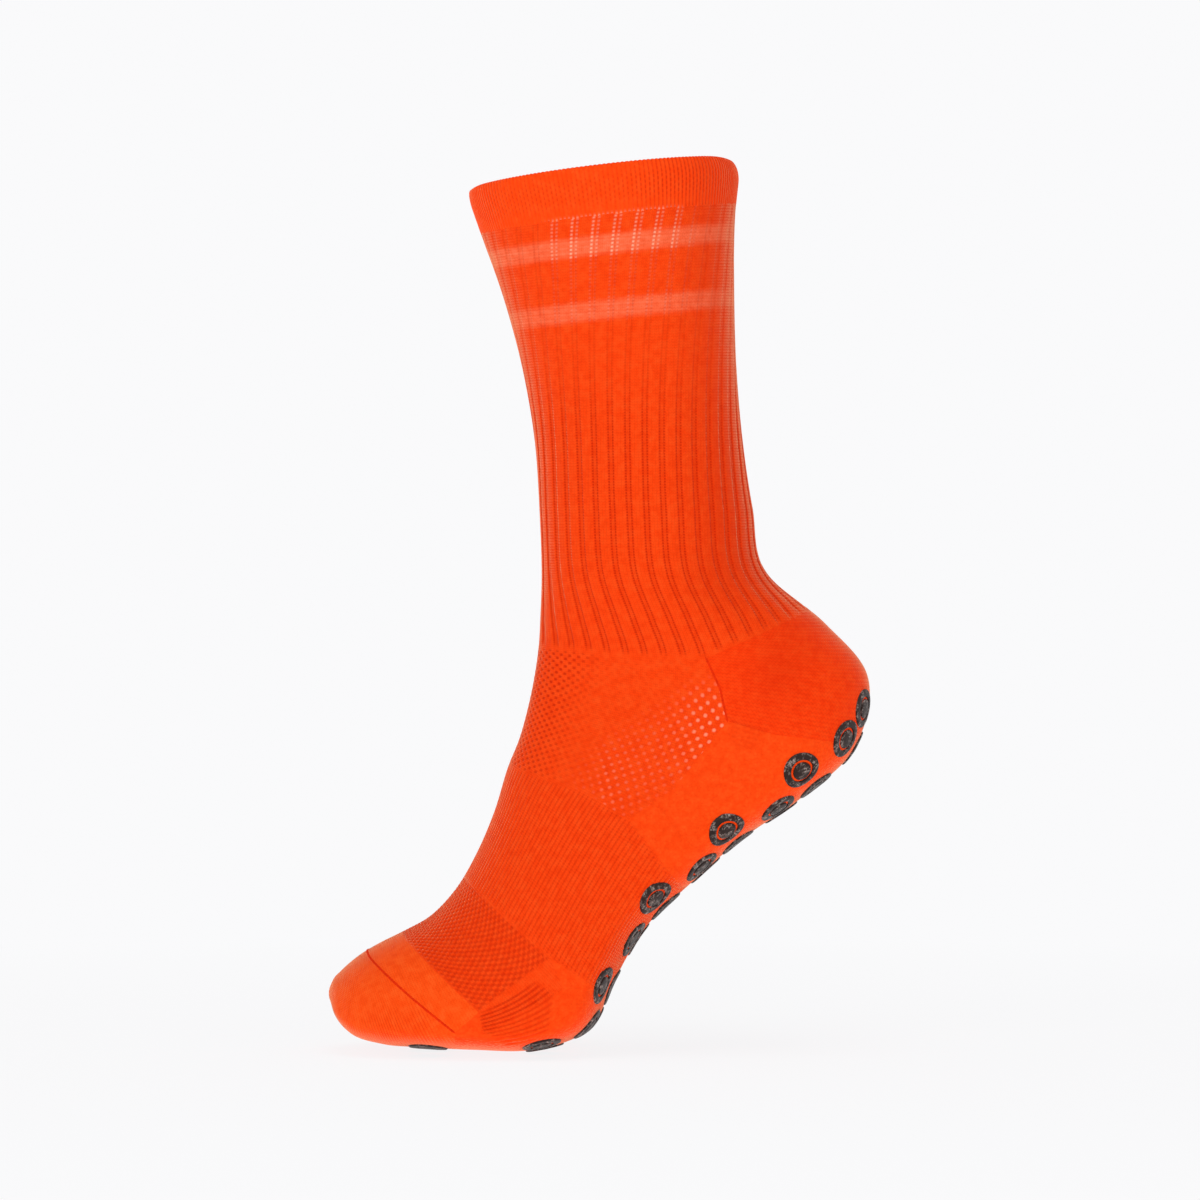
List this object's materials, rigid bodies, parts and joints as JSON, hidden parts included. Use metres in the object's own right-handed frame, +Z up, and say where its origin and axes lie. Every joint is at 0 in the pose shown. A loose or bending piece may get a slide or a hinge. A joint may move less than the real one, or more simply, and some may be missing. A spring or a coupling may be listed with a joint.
{
  "type": "grip sock",
  "caption": "Knitted crew sock in the shape of a raised foot, with a turned welt, ribbed leg, mesh instep and forefoot, padded sole and toe, and raised silicone grip dots under the sole.",
  "frame": {"origin": "centre of the leg opening, where the leg that fills the sock holds it", "axes": "+Z up the leg, +X towards the heel and -X towards the toes, Y across, with the sock the same on both sides of the XZ plane"},
  "size_m": [0.2171, 0.101, 0.3578],
  "materials": {
    "knit_orange": "rib-knitted polyester, matt with a pale fuzz at the edges",
    "stripe_coral": "knitted-in coral stripe, matt",
    "mesh_orange": "open eyelet mesh knit, matt",
    "heel_orange": "plain jersey knit, matt",
    "terry_orange": "padded terry knit, matt",
    "seam_thread": "linked stitches, matt",
    "elastic_yarn": "covered elastic yarn, matt",
    "silicone_dots": "printed silicone, satin with soft highlights"
  },
  "bodies": {
    "root": {"welt_outer_layer": "knit_orange", "welt_inner_layer": "knit_orange", "welt_elastic_yarn": "elastic_yarn", "upper_rib_band": "knit_orange", "upper_stripe": "stripe_coral", "middle_rib_band": "knit_orange", "lower_stripe": "stripe_coral", "leg_rib_tube": "knit_orange", "instep_mesh": "mesh_orange", "heel_pocket": "heel_orange", "heel_gore_seams": "seam_thread", "heel_sole_pad": "terry_orange", "midfoot_rib_band": "knit_orange", "forefoot_mesh": "mesh_orange", "side_gathers": "knit_orange", "ball_sole_pad": "terry_orange", "toe_bridge": "heel_orange", "toe_linking_seam": "seam_thread", "toe_pocket": "heel_orange", "heel_grip_dots": "silicone_dots", "arch_grip_dots": "silicone_dots", "ball_grip_dots": "silicone_dots", "toe_grip_dots": "silicone_dots"}
  },
  "joints": []
}
